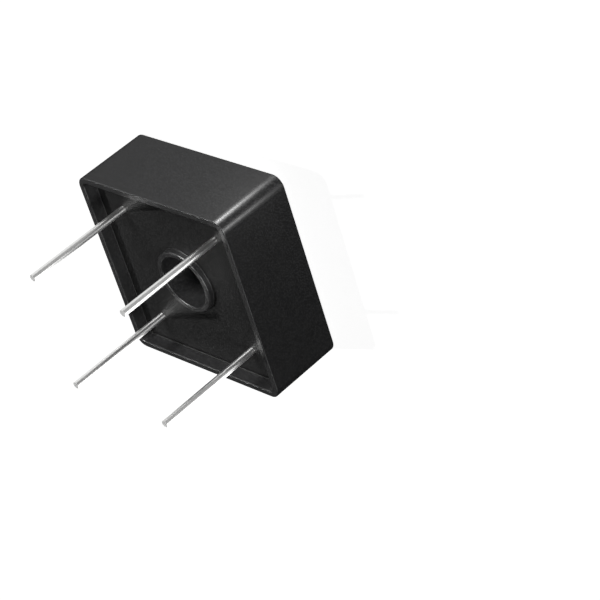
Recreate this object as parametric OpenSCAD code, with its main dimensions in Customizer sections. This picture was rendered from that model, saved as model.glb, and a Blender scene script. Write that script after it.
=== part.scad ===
// Single-phase bridge rectifier in a square potted package with four wire leads.
// Millimetres. The origin is the centre of the flat mounting face, and the leads point along +Z.
// Bottom to top inside: case floor, heat spreader, insulating plate, frames, chips, jumpers, epoxy.

/* [Case] */
// Width of the square body
body_w = 28.5; // [27:0.1:32]
// Height of the body, from the mounting face to the rim
body_h = 11.2; // [10:0.1:14]
// Radius of the body's upright corners
corner_r = 1.7; // [1.3:0.1:3]
// Thickness of the side walls
wall_t = 0.9; // [0.6:0.1:1.2]
// Thickness of the case floor
floor_t = 0.8; // [0.5:0.1:1.2]
// Radius on the outer edges of the mounting face
base_edge_r = 0.25; // [0.1:0.05:0.5]
// Radius on both edges of the rim
rim_edge_r = 0.15; // [0.05:0.05:0.25]

/* [Mounting hole] */
// Diameter of the screw hole
hole_d = 8; // [5:0.1:9]
// Wall of the sleeve round the hole
sleeve_wall = 0.8; // [0.6:0.1:1.2]
// How far the sleeve stops below the rim
sleeve_drop = 1.1; // [0.5:0.1:1.5]
// Radius on the edges of the hole and of the sleeve
sleeve_edge_r = 0.15; // [0.05:0.05:0.25]

/* [Epoxy] */
// Depth of the epoxy's surface below the rim
recess_depth = 1.95; // [1.7:0.05:2.5]
// Radius of the bead where the epoxy wets the case
wetting_r = 0.15; // [0.05:0.05:0.25]

/* [Leads] */
// Centre distance of neighbouring leads
lead_pitch = 18; // [17:0.1:18.6]
// Diameter of a lead
lead_d = 1; // [0.8:0.05:1.2]
// Length of a lead above the rim
lead_reach = 14.6; // [10:0.1:30]
// Diameter of the head on the foot of a lead
head_d = 2.2; // [1.8:0.1:2.6]
// Thickness of that head
head_t = 0.5; // [0.3:0.1:0.6]

/* [Heat path] */
// Thickness of the heat spreader
spreader_t = 1.5; // [1:0.1:1.6]
// Gap between the spreader or the insulating plate and the case
plate_gap = 0.3; // [0.2:0.05:0.5]
// Thickness of the insulating plate
insulator_t = 0.6; // [0.4:0.05:0.8]

/* [Frames and chips] */
// Width of the copper strips
strip_w = 5.2; // [4.8:0.1:5.4]
// Thickness of the copper strips
strip_t = 0.8; // [0.5:0.05:0.9]
// Length of a strip past the middle of its chip
strip_end = 2.8; // [2.5:0.1:3.2]
// Radius of the strips' plan corners
strip_r = 0.6; // [0.3:0.1:1]
// Side of a chip
chip_w = 4.4; // [3:0.1:4.6]
// Thickness of a chip
chip_t = 0.3; // [0.2:0.05:0.4]
// Thickness of a solder layer
solder_t = 0.1; // [0.05:0.01:0.15]
// Side of the raised pad by which a jumper meets its chip
pad_w = 3.2; // [2.4:0.1:3.6]
// Height of that pad
pad_t = 0.3; // [0.2:0.05:0.4]
// Reach of the solder round the head of a lead
solder_reach = 0.5; // [0.3:0.05:0.7]

/* [Hidden] */
$fn = 64;
eps = 0.1;

// Plan of the case
inner_w = body_w - 2 * wall_t;
inner_r = corner_r - wall_t;
hole_r = hole_d / 2;
sleeve_r = hole_r + sleeve_wall;
sleeve_top = body_h - sleeve_drop;
epoxy_top = body_h - recess_depth;

// Levels of the stack, from the floor up
spreader_z = floor_t;
insulator_z = spreader_z + spreader_t;
frame_z = insulator_z + insulator_t;
frame_top = frame_z + strip_t;
chip_z = frame_top + solder_t;
chip_top = chip_z + chip_t;
pad_z = chip_top + solder_t;
jumper_z = pad_z + pad_t;
jumper_top = jumper_z + strip_t;
lead_top = body_h + lead_reach;

// Leads stand at the corners of a square, chips at the middles of its sides
lead_offset = lead_pitch / 2;
positive_turn = 0;
ac_2_turn = 90;
negative_turn = 180;
ac_1_turn = 270;
CHIPS = [1, 2, 3, 4];

plastic = [0.1, 0.1, 0.105];
epoxy = [0.13, 0.13, 0.135];
tin = [0.85, 0.85, 0.84];
copper = [0.72, 0.43, 0.26];
solder = [0.66, 0.67, 0.69];
silicon = [0.3, 0.31, 0.35];
aluminium = [0.75, 0.76, 0.78];
ceramic = [0.93, 0.92, 0.88];

// ---- Shared shapes ----

// A rectangle between two corners, with round corners
module round_bar(x0, y0, x1, y1, r) {
    translate([x0 + r, y0])
        square([x1 - x0 - 2 * r, y1 - y0]);
    translate([x0, y0 + r])
        square([x1 - x0, y1 - y0 - 2 * r]);
    for (x = [x0 + r, x1 - r], y = [y0 + r, y1 - r])
        translate([x, y])
            circle(r);
}

module round_square(w, r) {
    round_bar(-w / 2, -w / 2, w / 2, w / 2, r);
}

// What a radius takes off an edge whose solid lies left of and below the origin
module edge_gap(r) {
    difference() {
        translate([-r, -r])
            square(r + eps);
        translate([-r, -r])
            circle(r);
    }
}

// The bead that fills a corner between a wall on the right and a floor below
module corner_bead(r) {
    difference() {
        translate([-r, 0])
            square(r);
        translate([-r, r])
            circle(r);
    }
}

// Sweeps a profile, drawn as (outwards, up), round a square with round corners
module round_square_sweep(w, r) {
    for (turn = [0:90:270])
        rotate([0, 0, turn]) {
            translate([w / 2, 0, 0])
                rotate([90, 0, 0])
                    linear_extrude(w - 2 * r, center = true)
                        children();
            translate([w / 2 - r, w / 2 - r, 0])
                rotate_extrude(angle = 90)
                    translate([r, 0])
                        children();
        }
}

module ring_sweep(r) {
    rotate_extrude()
        translate([r, 0])
            children();
}

// ---- Case: floor, walls and sleeve in one moulding ----

module screw_hole() {
    translate([0, 0, -eps])
        cylinder(h = sleeve_top + 2 * eps, r = hole_r);
}

module cavity() {
    difference() {
        translate([0, 0, floor_t])
            linear_extrude(body_h - floor_t + eps)
                round_square(inner_w, inner_r);
        cylinder(h = sleeve_top, r = sleeve_r);
    }
}

// The radii on the mounting face, on both sides of the rim, and on the sleeve
module case_edges() {
    round_square_sweep(body_w, corner_r)
        mirror([0, 1])
            edge_gap(base_edge_r);
    translate([0, 0, body_h]) {
        round_square_sweep(body_w, corner_r)
            edge_gap(rim_edge_r);
        round_square_sweep(inner_w, inner_r)
            mirror([1, 0])
                edge_gap(rim_edge_r);
    }
    translate([0, 0, sleeve_top]) {
        ring_sweep(sleeve_r)
            edge_gap(sleeve_edge_r);
        ring_sweep(hole_r)
            mirror([1, 0])
                edge_gap(sleeve_edge_r);
    }
    ring_sweep(hole_r)
        rotate(180)
            edge_gap(sleeve_edge_r);
}

module case() {
    color(plastic)
        difference() {
            linear_extrude(body_h)
                round_square(body_w, corner_r);
            cavity();
            screw_hole();
            case_edges();
        }
}

// ---- Heat path ----

module plate(z, t) {
    translate([0, 0, z])
        linear_extrude(t)
            difference() {
                round_square(inner_w - 2 * plate_gap, inner_r);
                circle(sleeve_r + plate_gap);
            }
}

module heat_spreader() {
    color(aluminium)
        plate(spreader_z, spreader_t);
}

module insulating_plate() {
    color(ceramic)
        plate(insulator_z, insulator_t);
}

// ---- Frames, jumpers and chips ----

// An L of copper strip, from the lead's corner to past the middle of two chips
module strip_plan() {
    inside = lead_offset - strip_w / 2;
    outside = lead_offset + strip_w / 2;
    round_bar(inside, -strip_end, outside, outside, strip_r);
    round_bar(-strip_end, inside, outside, outside, strip_r);
}

module frame(turn) {
    color(copper)
        rotate([0, 0, turn])
            translate([0, 0, frame_z])
                linear_extrude(strip_t)
                    strip_plan();
}

// A square at both chips of one strip
module at_strip_chips() {
    for (place = [[lead_offset, 0], [0, lead_offset]])
        translate(place)
            children();
}

// The strip is pressed down over each chip, which leaves a dimple on top
module ac_jumper(turn) {
    color(copper)
        rotate([0, 0, turn])
            difference() {
                union() {
                    translate([0, 0, jumper_z])
                        linear_extrude(strip_t)
                            strip_plan();
                    translate([0, 0, pad_z])
                        linear_extrude(pad_t + strip_t / 2)
                            at_strip_chips()
                                square(pad_w, center = true);
                }
                translate([0, 0, jumper_top - pad_t])
                    linear_extrude(pad_t + eps)
                        at_strip_chips()
                            square(pad_w - 2 * pad_t, center = true);
            }
}

module at_chip(i) {
    rotate([0, 0, 90 * (i - 1)])
        translate([lead_offset, 0, 0])
            children();
}

module diode_chip(i) {
    color(silicon)
        at_chip(i)
            translate([0, 0, chip_z])
                linear_extrude(chip_t)
                    square(chip_w, center = true);
}

module chip_solder_lower(i) {
    color(solder)
        at_chip(i)
            translate([0, 0, frame_top])
                linear_extrude(solder_t)
                    square(chip_w, center = true);
}

module chip_solder_upper(i) {
    color(solder)
        at_chip(i)
            translate([0, 0, chip_top])
                linear_extrude(solder_t)
                    square(pad_w, center = true);
}

// ---- Leads ----

module at_lead(turn) {
    rotate([0, 0, turn])
        translate([lead_offset, lead_offset, 0])
            children();
}

// A straight wire with a flattened head, soldered on top of a strip
module lead(turn, strip_top) {
    color(tin)
        at_lead(turn)
            translate([0, 0, strip_top + solder_t]) {
                cylinder(h = head_t, r = head_d / 2);
                cylinder(h = lead_top - strip_top - solder_t, r = lead_d / 2);
            }
}

// A thin layer under the head, with a hollow fillet up its side
module lead_solder(turn, strip_top) {
    fillet_r = min(solder_reach, head_t);
    color(solder)
        at_lead(turn)
            translate([0, 0, strip_top])
                rotate_extrude() {
                    square([head_d / 2 + solder_reach, solder_t]);
                    translate([head_d / 2, solder_t])
                        mirror([1, 0])
                            corner_bead(fillet_r);
                }
}

// ---- Epoxy ----

// The open space over the epoxy, without the beads at the walls and the sleeve
module space_over_epoxy() {
    translate([0, 0, epoxy_top])
        difference() {
            linear_extrude(recess_depth)
                round_square(inner_w, inner_r);
            round_square_sweep(inner_w, inner_r)
                corner_bead(wetting_r);
            ring_sweep(sleeve_r)
                mirror([1, 0])
                    corner_bead(wetting_r);
        }
}

module epoxy_form() {
    difference() {
        translate([0, 0, floor_t])
            linear_extrude(epoxy_top + wetting_r - floor_t)
                round_square(inner_w, inner_r);
        space_over_epoxy();
        translate([0, 0, floor_t - eps])
            cylinder(h = body_h, r = sleeve_r);
    }
}

module potting_compound() {
    color(epoxy)
        difference() {
            epoxy_form();
            heat_spreader();
            insulating_plate();
            frame(positive_turn);
            frame(negative_turn);
            ac_jumper(ac_1_turn);
            ac_jumper(ac_2_turn);
            for (i = CHIPS) {
                chip_solder_lower(i);
                diode_chip(i);
                chip_solder_upper(i);
            }
            for (turn = [positive_turn, negative_turn]) {
                lead_solder(turn, frame_top);
                lead(turn, frame_top);
            }
            for (turn = [ac_1_turn, ac_2_turn]) {
                lead_solder(turn, jumper_top);
                lead(turn, jumper_top);
            }
        }
}

case();
potting_compound();
heat_spreader();
insulating_plate();
frame(positive_turn);  // positive_frame
frame(negative_turn);  // negative_frame
ac_jumper(ac_1_turn);  // ac_jumper_1
ac_jumper(ac_2_turn);  // ac_jumper_2
lead(positive_turn, frame_top);  // lead_positive
lead(negative_turn, frame_top);  // lead_negative
lead(ac_1_turn, jumper_top);  // lead_ac_1
lead(ac_2_turn, jumper_top);  // lead_ac_2
lead_solder(positive_turn, frame_top);  // lead_solder_positive
lead_solder(negative_turn, frame_top);  // lead_solder_negative
lead_solder(ac_1_turn, jumper_top);  // lead_solder_ac_1
lead_solder(ac_2_turn, jumper_top);  // lead_solder_ac_2
for (i = CHIPS) {
    diode_chip(i);
    chip_solder_lower(i);
    chip_solder_upper(i);
}
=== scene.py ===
import math

import bmesh
import bpy
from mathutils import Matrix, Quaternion, Vector


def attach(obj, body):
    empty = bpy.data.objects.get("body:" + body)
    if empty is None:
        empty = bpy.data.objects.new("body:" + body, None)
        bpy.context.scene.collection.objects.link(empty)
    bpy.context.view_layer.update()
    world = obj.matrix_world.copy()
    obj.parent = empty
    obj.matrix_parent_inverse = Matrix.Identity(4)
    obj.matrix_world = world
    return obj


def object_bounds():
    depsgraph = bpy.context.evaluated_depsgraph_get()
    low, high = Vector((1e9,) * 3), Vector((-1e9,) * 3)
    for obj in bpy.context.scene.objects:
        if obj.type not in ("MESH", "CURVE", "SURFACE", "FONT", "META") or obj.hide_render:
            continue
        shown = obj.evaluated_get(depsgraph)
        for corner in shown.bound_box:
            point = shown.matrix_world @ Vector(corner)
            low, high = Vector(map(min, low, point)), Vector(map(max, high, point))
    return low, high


MM = 0.001

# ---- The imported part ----
# A potted bridge rectifier, resting on its flat mounting face with its four wire leads up.
# Its solids come packed in metres, and this script gives each its finish.
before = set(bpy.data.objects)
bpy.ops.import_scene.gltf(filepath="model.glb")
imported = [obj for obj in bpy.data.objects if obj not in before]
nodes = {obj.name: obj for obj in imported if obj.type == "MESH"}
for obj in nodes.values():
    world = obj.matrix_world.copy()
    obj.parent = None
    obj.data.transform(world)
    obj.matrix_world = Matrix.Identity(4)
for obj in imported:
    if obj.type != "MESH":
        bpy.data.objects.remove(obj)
cad_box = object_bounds()
scene = bpy.context.scene
scene.view_settings.view_transform = "Standard"

# ---- Camera ----
# A long lens looks down on the leads' side of the part. It stands at an azimuth, an elevation and
# a distance from the point it aims at, and is rolled so that the leads lean to the left.
camera_aim = Vector((9.885, -6.900, 0.007)) * MM
camera_distance = 293.436 * MM
camera_azimuth = math.radians(129.759)
camera_elevation = math.radians(29.257)
camera_roll = math.radians(-129.961)
camera_lens = 132.441
camera_near = 10 * MM

camera_data = bpy.data.cameras.new("camera")
camera_data.lens = camera_lens
camera_data.clip_start = camera_near
camera = bpy.data.objects.new("camera", camera_data)
camera_look = Vector((
    -math.sin(camera_azimuth) * math.cos(camera_elevation),
    math.cos(camera_azimuth) * math.cos(camera_elevation),
    -math.sin(camera_elevation),
))
camera.location = camera_aim - camera_look * camera_distance
camera.rotation_mode = "QUATERNION"
upright = camera_look.to_track_quat("-Z", "Y")
camera.rotation_quaternion = upright @ Quaternion((0, 0, 1), camera_roll)
scene.collection.objects.link(camera)
scene.camera = camera

# ---- Floor ----
# A plain white sheet that keeps the part's shadow. A glow that the camera alone sees takes it to
# full white where the key lamp reaches it.
floor_size = 3.0
floor_colour = (0.82, 0.82, 0.82, 1.0)
floor_roughness = 0.9
floor_glow = 0.94


def new_material(name):
    """A node material with its Principled shader and a maker of further nodes."""
    material = bpy.data.materials.new(name)
    material.use_nodes = True
    tree = material.node_tree

    def node(kind, **settings):
        made = tree.nodes.new(kind)
        for key, value in settings.items():
            setattr(made, key, value)
        return made

    return material, tree, node, tree.nodes["Principled BSDF"]


def flat_sheet(name, size):
    """A level square sheet round the origin."""
    mesh = bpy.data.meshes.new(name)
    made = bmesh.new()
    bmesh.ops.create_grid(made, x_segments=1, y_segments=1, size=size / 2)
    made.to_mesh(mesh)
    made.free()
    sheet = bpy.data.objects.new(name, mesh)
    scene.collection.objects.link(sheet)
    return sheet


floor = flat_sheet("floor", floor_size)
floor_paint, tree, node, shader = new_material("floor_paint")
shader.inputs["Base Color"].default_value = floor_colour
shader.inputs["Roughness"].default_value = floor_roughness
shader.inputs["Specular IOR Level"].default_value = 0.0
glow = node("ShaderNodeEmission")
glow.inputs["Strength"].default_value = floor_glow
glowing_paint = node("ShaderNodeAddShader")
ray = node("ShaderNodeLightPath")
seen_paint = node("ShaderNodeMixShader")
tree.links.new(shader.outputs["BSDF"], glowing_paint.inputs[0])
tree.links.new(glow.outputs["Emission"], glowing_paint.inputs[1])
tree.links.new(ray.outputs["Is Camera Ray"], seen_paint.inputs["Fac"])
tree.links.new(shader.outputs["BSDF"], seen_paint.inputs[1])
tree.links.new(glowing_paint.outputs["Shader"], seen_paint.inputs[2])
tree.links.new(seen_paint.outputs["Shader"], tree.nodes["Material Output"].inputs["Surface"])
floor.data.materials.append(floor_paint)
floor.visible_glossy = False

# A small sheet just under the part lets no lamp shine up into the screw hole.
underlay_size = 27 * MM
underlay_drop = 0.05 * MM
underlay = flat_sheet("underlay", underlay_size)
underlay.location.z = -underlay_drop
underlay.data.materials.append(floor_paint)

# ---- Light ----
# A small key lamp throws the leads' crisp shadows, two low soft lamps reach the inner walls, and
# the lamps below the floor's level are what a glossy white table would mirror. Each lamp is linked
# to what it lights: the body, the leads or the floor. The surround is dim, but white to the camera.
surround_level = 0.015
LAMPS = {
    # name: (azimuth, elevation, spread, level on each set of pieces), the angles in degrees
    "key_lamp": (197.1, 50.9, 1.8, {"body": 0.60, "leads": 0.60, "floor": 0.60}),
    "soft_lamp_back": (103, 29, 30, {"body": 10.2, "leads": 3.0}),
    "soft_lamp_side": (-2, 29, 26, {"body": 5.7, "leads": 2.6}),
    "tip_lamp": (-140, 29, 40, {"leads": 0.10}),
    "table_lamp_back": (125, -29.3, 60, {"body": 0.30}),
    "lead_lamp_back": (148, 0, 120, {"leads": 1.9}),
    "lead_lamp_front": (47, -29.3, 74, {"leads": 0.38}),
    "lead_lamp_side": (-62, 10, 130, {"leads": 5.8}),
}
# Small lamps close by, for the streaks along the rounded corner that faces the camera.
STREAK_LAMPS = {
    # name: (place in millimetres, power, radius in millimetres)
    "streak_lamp_back": ((9.7, 37.5, -2.2), 0.034, 3.0),
    "streak_lamp_side": ((37.7, 15.0, -2.2), 0.0135, 3.5),
}

world = bpy.data.worlds.new("surround")
world.use_nodes = True
sky = world.node_tree
path = sky.nodes.new("ShaderNodeLightPath")
sky_level = sky.nodes.new("ShaderNodeMapRange")
sky_level.inputs["To Min"].default_value = surround_level
sky_level.inputs["To Max"].default_value = 1.0
sky.links.new(path.outputs["Is Camera Ray"], sky_level.inputs["Value"])
sky.links.new(sky_level.outputs["Result"], sky.nodes["Background"].inputs["Strength"])
sky.nodes["Background"].inputs["Color"].default_value = (1.0, 1.0, 1.0, 1.0)
scene.world = world


def shine(name, azimuth, elevation, level, spread):
    """A distant lamp at an azimuth and an elevation, which looks as many degrees wide as its spread."""
    data = bpy.data.lights.new(name, "SUN")
    data.energy = level
    data.angle = math.radians(spread)
    lamp = bpy.data.objects.new(name, data)
    flat = math.cos(math.radians(elevation))
    place = Vector((
        flat * math.cos(math.radians(azimuth)),
        flat * math.sin(math.radians(azimuth)),
        math.sin(math.radians(elevation)),
    ))
    lamp.rotation_mode = "QUATERNION"
    lamp.rotation_quaternion = place.to_track_quat("Z", "Y")
    scene.collection.objects.link(lamp)
    return lamp


lead_names = ["lead_positive", "lead_negative", "lead_ac_1", "lead_ac_2"]
lit_pieces = {
    "body": [nodes[name] for name in nodes if name not in lead_names],
    "leads": [nodes[name] for name in lead_names],
    "floor": [floor, underlay],
}
receivers = {}
for kind, pieces in lit_pieces.items():
    receivers[kind] = bpy.data.collections.new(kind)
    for piece in pieces:
        receivers[kind].objects.link(piece)

# The floor casts no shadow, so it doesn't stop the lamps that stand below its level.
floor.visible_shadow = False
for name, (azimuth, elevation, spread, levels) in LAMPS.items():
    for kind, level in levels.items():
        lamp = shine(f"{name}_{kind}", azimuth, elevation, level, spread)
        lamp.light_linking.receiver_collection = receivers[kind]
for name, (place, power, radius) in STREAK_LAMPS.items():
    data = bpy.data.lights.new(name, "POINT")
    data.energy = power
    data.shadow_soft_size = radius * MM
    lamp = bpy.data.objects.new(name, data)
    lamp.location = Vector(place) * MM
    lamp.light_linking.receiver_collection = receivers["body"]
    scene.collection.objects.link(lamp)

# ---- Case ----
# One shell of black thermoset, moulded with its floor, thin walls and the sleeve of the screw hole.
# The mould was spark-eroded, which leaves a fine satin grain on every face.
case_black = (0.0020, 0.0020, 0.0021, 1.0)
case_black_light = (0.0070, 0.0070, 0.0072, 1.0)
case_roughness = 0.40
case_grain = 0.17 * MM
case_grain_depth = 0.0018 * MM
cloud_size = 4 * MM


def object_place(node):
    """Positions on the part in metres, for patterns that stay put on it."""
    return node("ShaderNodeTexCoord").outputs["Object"]


def grain(tree, node, place, size, detail):
    """Even noise whose spots are about one size across, in metres."""
    noise = node("ShaderNodeTexNoise")
    noise.inputs["Scale"].default_value = 1.0 / size
    noise.inputs["Detail"].default_value = detail
    tree.links.new(place, noise.inputs["Vector"])
    return noise.outputs["Fac"]


def between(tree, node, fac, low, high, to_low, to_high):
    """Maps a range of a pattern onto a range of values."""
    step = node("ShaderNodeMapRange")
    step.inputs["From Min"].default_value = low
    step.inputs["From Max"].default_value = high
    step.inputs["To Min"].default_value = to_low
    step.inputs["To Max"].default_value = to_high
    tree.links.new(fac, step.inputs["Value"])
    return step.outputs["Result"]


def two_tone(tree, node, fac, dark, light):
    """Colours a pattern between a dark and a light tone."""
    mix = node("ShaderNodeMix", data_type="RGBA")
    mix.inputs["A"].default_value = dark
    mix.inputs["B"].default_value = light
    tree.links.new(fac, mix.inputs["Factor"])
    return mix.outputs["Result"]


def raise_surface(tree, node, shader, height, depth, strength):
    """Raises the surface by a pattern, to a depth in metres."""
    bump = node("ShaderNodeBump")
    bump.inputs["Distance"].default_value = depth
    bump.inputs["Strength"].default_value = strength
    tree.links.new(height, bump.inputs["Height"])
    tree.links.new(bump.outputs["Normal"], shader.inputs["Normal"])


def moulded_black(name, dark, light, roughness, grain_size, grain_depth):
    """A black moulding: a sandy grain of duller and glossier spots, with cloudy patches of sheen."""
    material, tree, node, shader = new_material(name)
    place = object_place(node)
    fine = grain(tree, node, place, grain_size, detail=0.0)
    cloud = grain(tree, node, place, cloud_size, detail=3.0)
    spots = between(tree, node, fine, 0.50, 0.68, 0.0, 1.0)
    tree.links.new(two_tone(tree, node, spots, dark, light), shader.inputs["Base Color"])
    sheen = node("ShaderNodeMath", operation="ADD")
    spot_sheen = between(tree, node, fine, 0.35, 0.65, roughness - 0.03, roughness + 0.03)
    tree.links.new(spot_sheen, sheen.inputs[0])
    tree.links.new(between(tree, node, cloud, 0.3, 0.7, -0.015, 0.015), sheen.inputs[1])
    tree.links.new(sheen.outputs["Value"], shader.inputs["Roughness"])
    raise_surface(tree, node, shader, fine, grain_depth, 1.0)
    return material


def finish(node_names, material):
    """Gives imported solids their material."""
    for name in node_names:
        nodes[name].data.materials.clear()
        nodes[name].data.materials.append(material)


case_plastic = moulded_black(
    "case_plastic", case_black, case_black_light, case_roughness, case_grain, case_grain_depth
)
finish(["case"], case_plastic)

# ---- Heat spreader ----
# A plate stamped from aluminium sheet, laid on the case floor round the sleeve.
# The rolled sheet keeps fine lines along its length.
aluminium_dark = (0.70, 0.71, 0.73, 1)
aluminium_light = (0.80, 0.81, 0.82, 1)
aluminium_roughness = 0.35
aluminium_line = 0.15 * MM
rolling_stretch = 0.03
rolling_depth = 0.002 * MM


def rolled_metal(name, dark, light, roughness, line_width):
    """Sheet metal with rolling lines along Y, each about a line width across."""
    material, tree, node, shader = new_material(name)
    shader.inputs["Metallic"].default_value = 1.0
    stretch = node("ShaderNodeMapping")
    stretch.inputs["Scale"].default_value = (1.0, rolling_stretch, 1.0)
    tree.links.new(object_place(node), stretch.inputs["Vector"])
    lines = grain(tree, node, stretch.outputs["Vector"], line_width, detail=3.0)
    tree.links.new(two_tone(tree, node, lines, dark, light), shader.inputs["Base Color"])
    rough = between(tree, node, lines, 0.3, 0.7, roughness - 0.08, roughness + 0.08)
    tree.links.new(rough, shader.inputs["Roughness"])
    raise_surface(tree, node, shader, lines, rolling_depth, 0.4)
    return material


spreader_metal = rolled_metal(
    "spreader_metal", aluminium_dark, aluminium_light, aluminium_roughness, aluminium_line
)
finish(["heat_spreader"], spreader_metal)

# ---- Insulating plate ----
# A thin plate of fired white alumina between the spreader and the live strips.
# It has the faint speckle and dry surface of a sintered part.
alumina_dark = (0.86, 0.85, 0.80, 1)
alumina_light = (0.95, 0.94, 0.91, 1)
alumina_speckle = 0.12 * MM
alumina, tree, node, shader = new_material("insulating_ceramic")
speckle = grain(tree, node, object_place(node), alumina_speckle, detail=4.0)
alumina_tones = two_tone(tree, node, speckle, alumina_dark, alumina_light)
tree.links.new(alumina_tones, shader.inputs["Base Color"])
shader.inputs["Roughness"].default_value = 0.6
raise_surface(tree, node, shader, speckle, 0.002 * MM, 0.5)
finish(["insulating_plate"], alumina)

# ---- Copper strips ----
# Two flat frames under the chips and two pressed jumpers over them, stamped from copper sheet.
# They are soldered to the chips and to the heads of the leads, and keep the sheet's rolling lines.
copper_dark = (0.66, 0.36, 0.22, 1)
copper_light = (0.80, 0.48, 0.33, 1)
copper_roughness = 0.3
copper_line = 0.12 * MM
copper_strip = rolled_metal(
    "copper_strip", copper_dark, copper_light, copper_roughness, copper_line
)
finish(["positive_frame", "negative_frame", "ac_jumper_1", "ac_jumper_2"], copper_strip)

# ---- Chips ----
# Four square silicon chips, sawn from a wafer and soldered between a frame and a jumper.
# They are dark grey with a bluish sheen and fine saw marks.
silicon_dark = (0.16, 0.17, 0.21, 1)
silicon_light = (0.24, 0.25, 0.29, 1)
saw_mark = 0.05 * MM
silicon, tree, node, shader = new_material("silicon")
saw = grain(tree, node, object_place(node), saw_mark, detail=3.0)
silicon_tones = two_tone(tree, node, saw, silicon_dark, silicon_light)
tree.links.new(silicon_tones, shader.inputs["Base Color"])
shader.inputs["Metallic"].default_value = 0.6
shader.inputs["Roughness"].default_value = 0.22
raise_surface(tree, node, shader, saw, 0.001 * MM, 0.4)
finish([f"diode_chip_{i}" for i in range(1, 5)], silicon)

# ---- Solder ----
# Preforms above and below each chip, and a fillet round the head of each lead.
# Reflowed solder sets with a slightly frosted, crystalline skin.
solder_dark = (0.56, 0.57, 0.59, 1)
solder_light = (0.72, 0.73, 0.74, 1)
solder_frost = 0.2 * MM
solder, tree, node, shader = new_material("solder")
frost = grain(tree, node, object_place(node), solder_frost, detail=5.0)
solder_tones = two_tone(tree, node, frost, solder_dark, solder_light)
tree.links.new(solder_tones, shader.inputs["Base Color"])
shader.inputs["Metallic"].default_value = 1.0
tree.links.new(between(tree, node, frost, 0.3, 0.7, 0.25, 0.45), shader.inputs["Roughness"])
raise_surface(tree, node, shader, frost, 0.004 * MM, 0.6)
finish(
    [f"chip_solder_{side}_{i}" for side in ("lower", "upper") for i in range(1, 5)]
    + [f"lead_solder_{lead}" for lead in ("positive", "negative", "ac_1", "ac_2")],
    solder,
)

# ---- Leads ----
# Straight drawn copper wires with a bright tin plate, cropped flat at the tip.
# The wire die leaves faint lines along them.
tin_dark = (0.90, 0.90, 0.89, 1)
tin_light = (0.93, 0.93, 0.92, 1)
die_line = 0.30 * MM
die_stretch = 0.02
tin, tree, node, shader = new_material("tinned_wire")
shader.inputs["Metallic"].default_value = 1.0
stretch = node("ShaderNodeMapping")
stretch.inputs["Scale"].default_value = (1.0, 1.0, die_stretch)
tree.links.new(object_place(node), stretch.inputs["Vector"])
die_lines = grain(tree, node, stretch.outputs["Vector"], die_line, detail=0.0)
tin_tones = two_tone(tree, node, die_lines, tin_dark, tin_light)
tree.links.new(tin_tones, shader.inputs["Base Color"])
tree.links.new(between(tree, node, die_lines, 0.3, 0.7, 0.32, 0.34), shader.inputs["Roughness"])
finish(lead_names, tin)

# ---- Epoxy ----
# Black casting epoxy, poured to just below the rim. It cures level, with a fine dusty grain,
# and wets the walls and the sleeve in a small bead.
epoxy_black = (0.0003, 0.0003, 0.0003, 1.0)
epoxy_black_light = (0.006, 0.006, 0.006, 1.0)
epoxy_roughness = 0.50
epoxy_gloss = 0.2
epoxy_grain = 0.20 * MM
epoxy_grain_depth = 0.0080 * MM
potting = moulded_black(
    "epoxy", epoxy_black, epoxy_black_light, epoxy_roughness, epoxy_grain, epoxy_grain_depth
)
potting_shader = potting.node_tree.nodes["Principled BSDF"]
potting_shader.inputs["Specular IOR Level"].default_value = epoxy_gloss
finish(["potting_compound"], potting)

# ---- Marks ----
# Polarity marks printed in gold ink on the side that faces away: a minus and a wave beside the
# leads they belong to, and the plain symbol of a rectifier between them. The ink is a thin film.
ink_film = 0.01 * MM
ink_line = 0.35
ink_dark = (0.60, 0.42, 0.18, 1)
ink_light = (0.76, 0.58, 0.30, 1)
ink_speckle = 0.15 * MM
marked_side = cad_box[0].y
lead_x = 9
mark_z = 6.2
symbol_z = 5.6
ink, tree, node, shader = new_material("mark_ink")
ink_spots = grain(tree, node, object_place(node), ink_speckle, detail=4.0)
ink_tones = two_tone(tree, node, ink_spots, ink_dark, ink_light)
tree.links.new(ink_tones, shader.inputs["Base Color"])
shader.inputs["Roughness"].default_value = 0.5
raise_surface(tree, node, shader, ink_spots, 0.001 * MM, 0.5)


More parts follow.
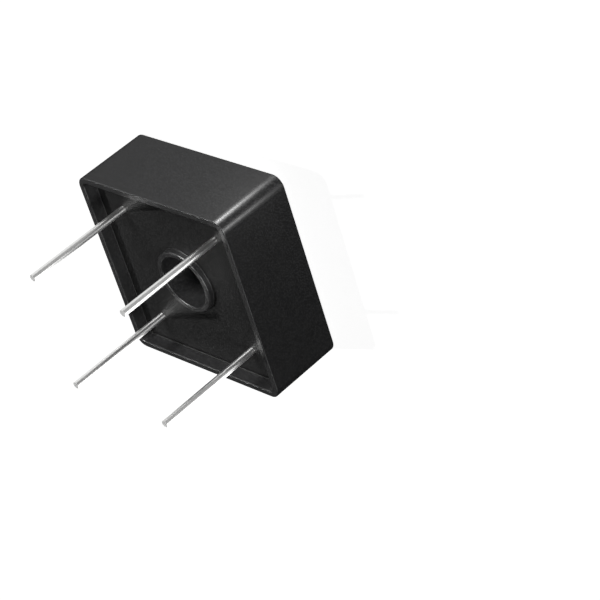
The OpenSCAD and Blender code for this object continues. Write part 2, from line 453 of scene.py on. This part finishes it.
def ink_shape(name, outlines):
    """A film of ink over outlines of (x, z) in millimetres, each wound the same way."""
    made = bmesh.new()
    for outline in outlines:
        levels = []
        for y in (marked_side + ink_film, marked_side - ink_film):
            levels.append([made.verts.new((x * MM, y, z * MM)) for x, z in outline])
        made.faces.new(levels[1])
        for i in range(len(outline)):
            k = (i + 1) % len(outline)
            made.faces.new((levels[0][i], levels[0][k], levels[1][k], levels[1][i]))
    bmesh.ops.recalc_face_normals(made, faces=made.faces)
    mesh = bpy.data.meshes.new(name)
    made.to_mesh(mesh)
    made.free()
    mesh.materials.append(ink)
    piece = bpy.data.objects.new(name, mesh)
    scene.collection.objects.link(piece)
    receivers["body"].objects.link(piece)
    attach(piece, "root")


def bar(x, z, long, wide):
    """A straight bar round a point."""
    return [
        (x - long / 2, z - wide / 2),
        (x + long / 2, z - wide / 2),
        (x + long / 2, z + wide / 2),
        (x - long / 2, z + wide / 2),
    ]


def wave(x, z, long, high, wide):
    """One turn of a wave round a point, as a band."""
    steps = 24
    crest = []
    for i in range(steps + 1):
        turn = 2 * math.pi * i / steps
        crest.append((x + long * (i / steps - 0.5), z + high / 2 * math.sin(turn)))
    under = [(px, pz - wide / 2) for px, pz in crest]
    over = [(px, pz + wide / 2) for px, pz in reversed(crest)]
    return under + over


def diamond_frame(x, z, reach, wide):
    """Four mitred strips round a square that stands on its corner."""
    turns = [(1, 0), (0, 1), (-1, 0), (0, -1)]
    inner = reach - wide * math.sqrt(2)
    strips = []
    for i in range(4):
        (ax, az), (bx, bz) = turns[i], turns[(i + 1) % 4]
        strips.append([
            (x + ax * reach, z + az * reach),
            (x + bx * reach, z + bz * reach),
            (x + bx * inner, z + bz * inner),
            (x + ax * inner, z + az * inner),
        ])
    return strips


# The diode inside the diamond: two wires, the bar across the tip, and the triangle.
diode = [
    bar(-1.35, symbol_z, 1.1, ink_line),
    bar(1.44, symbol_z, 0.93, ink_line),
    bar(0.8, symbol_z, ink_line, 1.8),
    [(-0.8, symbol_z - 0.9), (0.625, symbol_z), (-0.8, symbol_z + 0.9)],
]
ink_shape("mark_negative", [bar(-lead_x, mark_z, 1.8, ink_line)])
ink_shape("mark_ac", [wave(lead_x, mark_z, 2.0, 0.7, ink_line)])
ink_shape("mark_rectifier", diamond_frame(0, symbol_z, 3.2, ink_line) + diode)
